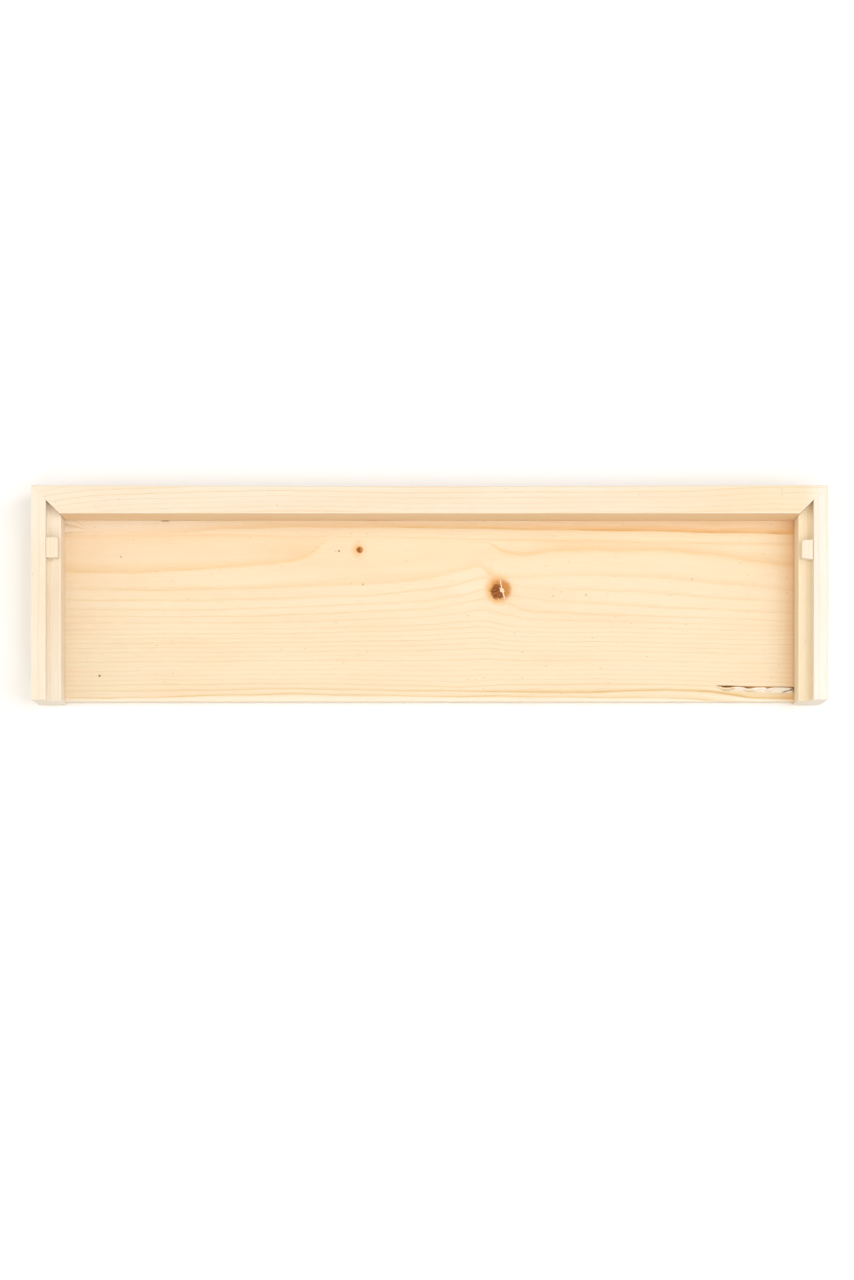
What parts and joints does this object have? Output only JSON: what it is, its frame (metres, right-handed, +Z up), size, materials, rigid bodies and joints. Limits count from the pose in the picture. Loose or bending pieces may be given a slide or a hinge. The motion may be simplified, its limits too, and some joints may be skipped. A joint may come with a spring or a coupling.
{
  "type": "beehive floor tray",
  "caption": "Shallow open-fronted wooden beehive tray: thin floor board in a mitred three-sided rim with rebated side rails and stop blocks.",
  "frame": {"origin": "underside, middle of the length and of the depth", "axes": "+X along the length to the right, open front faces -Y, +Z up"},
  "size_m": [0.505, 0.136, 0.0395],
  "materials": {
    "board_wood": "planed bare softwood with knots",
    "rail_wood": "planed bare softwood, straight grain",
    "block_wood": "sawn bare softwood",
    "nail_steel": "bright wire nail"
  },
  "bodies": {
    "root": {"base_board": "board_wood", "back_rail": "rail_wood", "left_rail": "rail_wood", "right_rail": "rail_wood", "left_stop_block": "block_wood", "right_stop_block": "block_wood", "back_board_nails": "nail_steel", "left_board_nails": "nail_steel", "right_board_nails": "nail_steel", "left_corner_nails": "nail_steel", "right_corner_nails": "nail_steel"}
  },
  "joints": []
}
